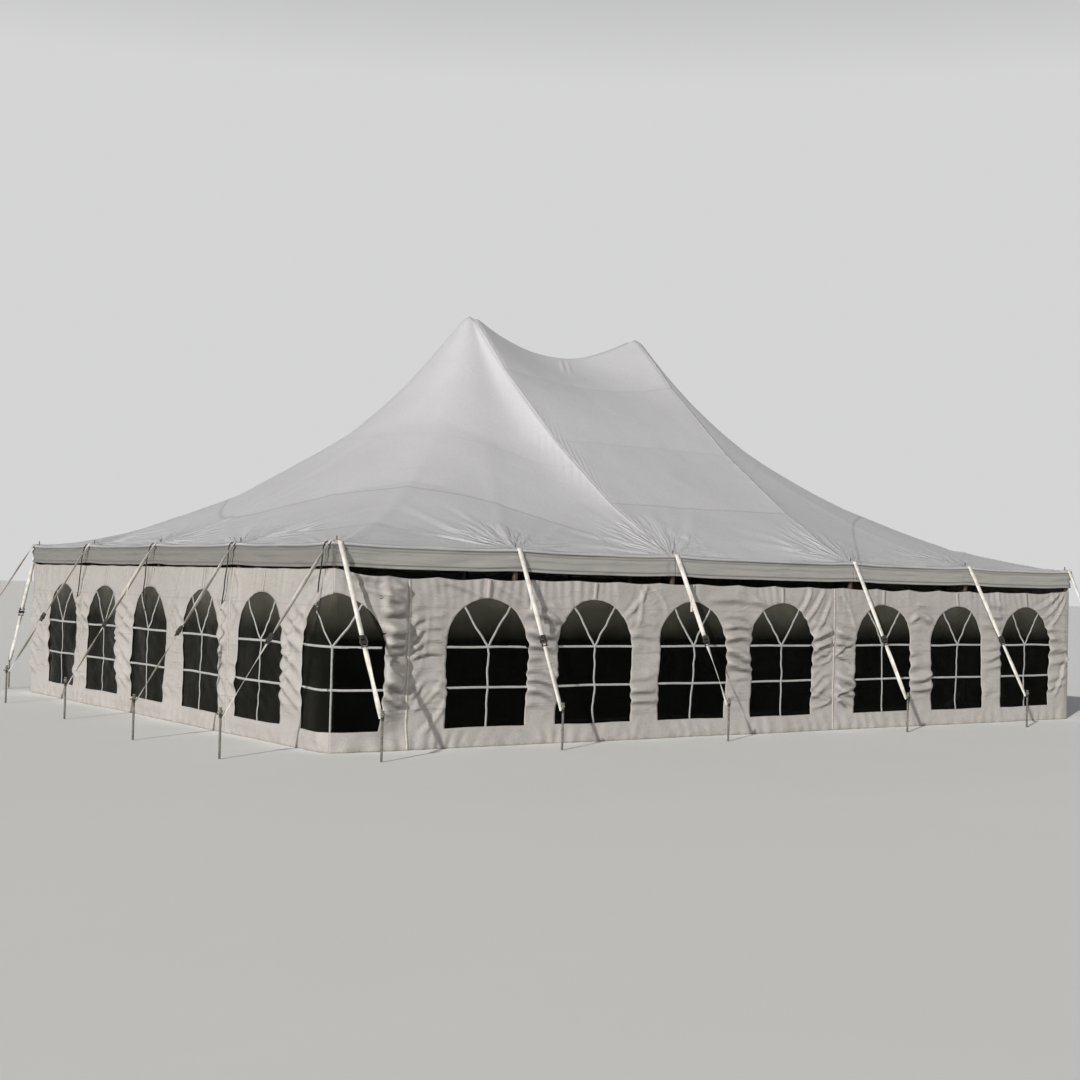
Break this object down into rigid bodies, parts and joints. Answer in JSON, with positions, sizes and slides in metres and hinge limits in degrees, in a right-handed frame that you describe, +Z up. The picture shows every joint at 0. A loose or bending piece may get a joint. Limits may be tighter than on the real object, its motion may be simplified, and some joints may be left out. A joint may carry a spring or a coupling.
{
  "type": "marquee tent",
  "caption": "Pole marquee with a swept canopy on two tall centre poles, walls with round-topped clear windows, side poles, and strap guys to steel stakes.",
  "frame": {"origin": "on the ground at the middle of the tent's plan", "axes": "+X along the tent's length towards its right-hand end, -Y out of its front, +Z up"},
  "size_m": [14.8062, 10.9382, 5.53],
  "materials": {
    "canopy_cloth": "coated cloth, satin",
    "wall_cloth": "coated cloth, creased",
    "window_film": "clear film, glossy",
    "center_pole_steel": "galvanised",
    "side_pole_wood": "stained, weathered",
    "guy_webbing": "woven webbing, soiled"
  },
  "bodies": {
    "root": {"left_end_roof": "canopy_cloth", "middle_roof": "canopy_cloth", "right_end_roof": "canopy_cloth", "front_wall": "wall_cloth", "back_wall": "wall_cloth", "left_wall": "wall_cloth", "right_wall": "wall_cloth", "front_window_film": "window_film", "back_window_film": "window_film", "left_window_film": "window_film", "right_window_film": "window_film", "left_center_pole": "center_pole_steel", "right_center_pole": "center_pole_steel", "front_left_corner_pole": "side_pole_wood", "front_right_corner_pole": "side_pole_wood", "back_left_corner_pole": "side_pole_wood", "back_right_corner_pole": "side_pole_wood", "front_pole_1": "side_pole_wood", "front_pole_2": "side_pole_wood", "front_pole_3": "side_pole_wood", "front_pole_4": "side_pole_wood", "back_pole_1": "side_pole_wood", "back_pole_2": "side_pole_wood", "back_pole_3": "side_pole_wood", "back_pole_4": "side_pole_wood", "left_pole_1": "side_pole_wood", "left_pole_2": "side_pole_wood", "left_pole_3": "side_pole_wood", "right_pole_1": "side_pole_wood", "right_pole_2": "side_pole_wood", "right_pole_3": "side_pole_wood", "front_guy_1": "guy_webbing", "front_guy_2": "guy_webbing", "front_guy_3": "guy_webbing", "front_guy_4": "guy_webbing", "front_guy_5": "guy_webbing", "front_guy_6": "guy_webbing", "back_guy_1": "guy_webbing", "back_guy_2": "guy_webbing", "back_guy_3": "guy_webbing", "back_guy_4": "guy_webbing", "back_guy_5": "guy_webbing", "back_guy_6": "guy_webbing", "left_guy_1": "guy_webbing", "left_guy_2": "guy_webbing", "left_guy_3": "guy_webbing", "left_guy_4": "guy_webbing", "left_guy_5": "guy_webbing", "right_guy_1": "guy_webbing", "right_guy_2": "guy_webbing", "right_guy_3": "guy_webbing", "right_guy_4": "guy_webbing", "right_guy_5": "guy_webbing"}
  },
  "joints": []
}
